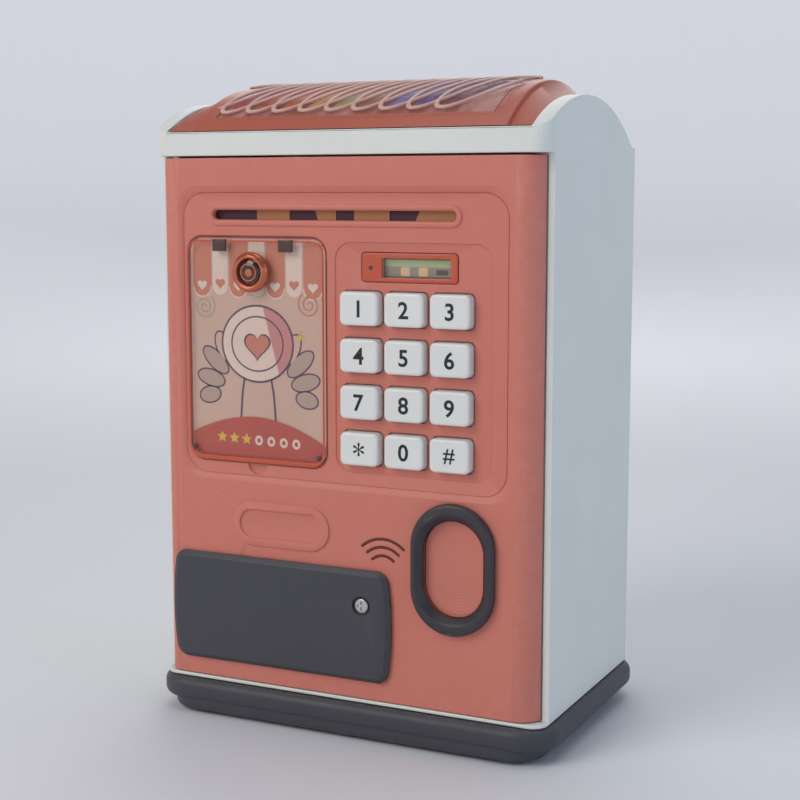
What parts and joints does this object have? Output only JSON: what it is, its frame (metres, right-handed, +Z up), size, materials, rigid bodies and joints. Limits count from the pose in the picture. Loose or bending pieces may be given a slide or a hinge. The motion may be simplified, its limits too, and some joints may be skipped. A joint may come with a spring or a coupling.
{
  "type": "toy cash-machine savings bank",
  "caption": "Upright toy cash machine with a hinged front door, keypad, note slot with feed rollers, picture flap, battery bay and arched roof over a striped lens.",
  "frame": {"origin": "on the ground, under the middle of the plinth", "axes": "+Z up, +X to the right and +Y to the back as seen from the front"},
  "size_m": [0.131, 0.084, 0.1926],
  "materials": {
    "coral_plastic": "moulded, fine matt texture",
    "white_plastic": "moulded, satin",
    "charcoal_plastic": "moulded, satin",
    "key_plastic": "moulded, soft gloss, printed black characters",
    "clear_plastic": "clear",
    "striped_lens": "clear moulding over a coloured film",
    "printed_card": "printed, satin",
    "copper_plate": "metallised copper",
    "dark_glass": "glossy",
    "lcd_glass": "display glass",
    "feed_rubber": "grippy",
    "foot_rubber": "matt",
    "silicone": "matt",
    "circuit_board": "solder mask",
    "black_plastic": "moulded",
    "steel": "plain",
    "nylon": "moulded",
    "cell_wrap": "printed sleeve"
  },
  "bodies": {
    "cabinet": {"base_plinth": "charcoal_plastic", "case_shell": "white_plastic", "roof_shell": "coral_plastic", "roof_lens": "striped_lens", "light_board": "circuit_board", "latch_strike": "steel", "foot_front_left": "foot_rubber", "foot_front_right": "foot_rubber", "foot_rear_left": "foot_rubber", "foot_rear_right": "foot_rubber", "hinge_pin_lower": "steel", "hinge_pin_upper": "steel"},
    "door": {"door_front_panel": "coral_plastic", "door_back_cover": "coral_plastic", "picture_card": "printed_card", "keypad_membrane": "silicone", "main_board": "circuit_board", "lcd_module": "lcd_glass", "lcd_window": "clear_plastic", "finger_ring": "charcoal_plastic", "finger_switch_board": "circuit_board", "battery_cover": "charcoal_plastic", "battery_screw": "steel", "battery_tray": "black_plastic", "battery_cell_upper": "cell_wrap", "battery_cell_lower": "cell_wrap", "battery_link_plate": "steel", "battery_spring_right": "steel", "battery_spring_left": "steel", "feed_motor": "steel", "roller_frame": "black_plastic", "latch_solenoid": "steel", "speaker": "black_plastic"},
    "picture_flap": {"picture_window": "clear_plastic", "window_lug_left": "charcoal_plastic", "window_lug_right": "charcoal_plastic", "eye_bezel": "copper_plate", "eye_lens": "dark_glass"},
    "finger_button": {"finger_pad": "coral_plastic"},
    "feed_roller": {"feed_shaft": "steel", "feed_tyre_left": "feed_rubber", "feed_tyre_middle": "feed_rubber", "feed_tyre_right": "feed_rubber", "feed_gear": "nylon"},
    "pinion": {"motor_pinion": "nylon"},
    "idler": {"idler_roller": "nylon"},
    "bolt": {"latch_bolt": "black_plastic"},
    "key_1_body": {"key_1": "key_plastic"},
    "key_2_body": {"key_2": "key_plastic"},
    "key_3_body": {"key_3": "key_plastic"},
    "key_4_body": {"key_4": "key_plastic"},
    "key_5_body": {"key_5": "key_plastic"},
    "key_6_body": {"key_6": "key_plastic"},
    "key_7_body": {"key_7": "key_plastic"},
    "key_8_body": {"key_8": "key_plastic"},
    "key_9_body": {"key_9": "key_plastic"},
    "key_star_body": {"key_star": "key_plastic"},
    "key_0_body": {"key_0": "key_plastic"},
    "key_hash_body": {"key_hash": "key_plastic"}
  },
  "joints": [
    {"name": "door_hinge", "type": "hinge", "parent": "cabinet", "child": "door", "pos_m": [-0.057, -0.0355, 0.09], "axis": [0, 0, -1], "range_deg": [0, 90]},
    {"name": "picture_flap_hinge", "type": "hinge", "parent": "door", "child": "picture_flap", "pos_m": [-0.0283, -0.0388, 0.14575], "axis": [-1, 0, 0], "range_deg": [0, 85]},
    {"name": "key_1_press", "type": "slide", "parent": "door", "child": "key_1_body", "axis": [0, 1, 0], "range_m": [0, 0.0012], "stiffness_N_per_m": 400},
    {"name": "key_2_press", "type": "slide", "parent": "door", "child": "key_2_body", "axis": [0, 1, 0], "range_m": [0, 0.0012], "stiffness_N_per_m": 400},
    {"name": "key_3_press", "type": "slide", "parent": "door", "child": "key_3_body", "axis": [0, 1, 0], "range_m": [0, 0.0012], "stiffness_N_per_m": 400},
    {"name": "key_4_press", "type": "slide", "parent": "door", "child": "key_4_body", "axis": [0, 1, 0], "range_m": [0, 0.0012], "stiffness_N_per_m": 400},
    {"name": "key_5_press", "type": "slide", "parent": "door", "child": "key_5_body", "axis": [0, 1, 0], "range_m": [0, 0.0012], "stiffness_N_per_m": 400},
    {"name": "key_6_press", "type": "slide", "parent": "door", "child": "key_6_body", "axis": [0, 1, 0], "range_m": [0, 0.0012], "stiffness_N_per_m": 400},
    {"name": "key_7_press", "type": "slide", "parent": "door", "child": "key_7_body", "axis": [0, 1, 0], "range_m": [0, 0.0012], "stiffness_N_per_m": 400},
    {"name": "key_8_press", "type": "slide", "parent": "door", "child": "key_8_body", "axis": [0, 1, 0], "range_m": [0, 0.0012], "stiffness_N_per_m": 400},
    {"name": "key_9_press", "type": "slide", "parent": "door", "child": "key_9_body", "axis": [0, 1, 0], "range_m": [0, 0.0012], "stiffness_N_per_m": 400},
    {"name": "key_star_press", "type": "slide", "parent": "door", "child": "key_star_body", "axis": [0, 1, 0], "range_m": [0, 0.0012], "stiffness_N_per_m": 400},
    {"name": "key_0_press", "type": "slide", "parent": "door", "child": "key_0_body", "axis": [0, 1, 0], "range_m": [0, 0.0012], "stiffness_N_per_m": 400},
    {"name": "key_hash_press", "type": "slide", "parent": "door", "child": "key_hash_body", "axis": [0, 1, 0], "range_m": [0, 0.0012], "stiffness_N_per_m": 400},
    {"name": "finger_pad_press", "type": "slide", "parent": "door", "child": "finger_button", "axis": [0, 1, 0], "range_m": [0, 0.0012], "stiffness_N_per_m": 500},
    {"name": "feed_roller_spin", "type": "hinge", "parent": "door", "child": "feed_roller", "pos_m": [0, -0.0275, 0.1479], "axis": [1, 0, 0], "continuous": true},
    {"name": "pinion_spin", "type": "hinge", "parent": "door", "child": "pinion", "pos_m": [-0.0458, -0.0275, 0.1374], "axis": [1, 0, 0], "continuous": true},
    {"name": "idler_spin", "type": "hinge", "parent": "door", "child": "idler", "pos_m": [0, -0.0275, 0.1569], "axis": [1, 0, 0], "continuous": true},
    {"name": "latch_bolt_slide", "type": "slide", "parent": "door", "child": "bolt", "axis": [1, 0, 0], "range_m": [0, 0.0044]}
  ],
  "couplings": [
    {"joint": "pinion_spin", "follows": "feed_roller_spin", "ratio": -2.25},
    {"joint": "idler_spin", "follows": "feed_roller_spin", "ratio": -1}
  ]
}
